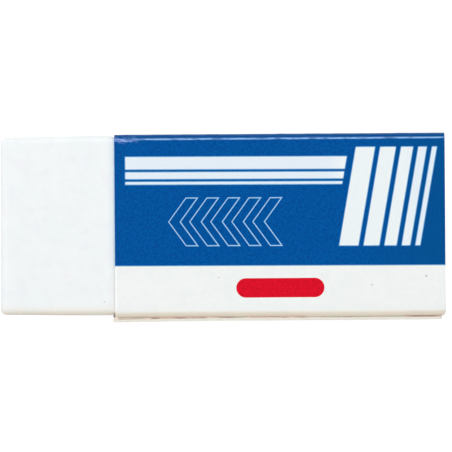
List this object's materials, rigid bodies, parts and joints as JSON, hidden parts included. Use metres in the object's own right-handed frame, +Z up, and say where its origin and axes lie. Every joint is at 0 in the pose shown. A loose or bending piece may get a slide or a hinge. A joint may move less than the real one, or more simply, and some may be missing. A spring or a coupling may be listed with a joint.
{
  "type": "block eraser in a card sleeve",
  "caption": "White vinyl block eraser in a folded, glued card sleeve printed blue and white; the block stands out at one end and slides through the sleeve.",
  "frame": {"origin": "on the surface that the sleeve lies on, under the middle of the whole", "axes": "+X along the block from its bare working end to the sleeve's plain end, +Y across it from the glued seam to the plain side, +Z up through its thickness"},
  "size_m": [0.0432, 0.0182, 0.0121],
  "materials": {
    "vinyl": "satin",
    "card": "satin",
    "blue_ink": "gloss",
    "red_ink": "gloss",
    "glue": "satin"
  },
  "bodies": {
    "sleeve": {"card_sleeve": "card", "blue_print": "blue_ink", "red_print": "red_ink", "seam_glue": "glue"},
    "block": {"eraser_block": "vinyl"}
  },
  "joints": [
    {"name": "block_slide", "type": "slide", "parent": "sleeve", "child": "block", "axis": [-1, 0, 0], "range_m": [-0.011, 0.027]}
  ]
}
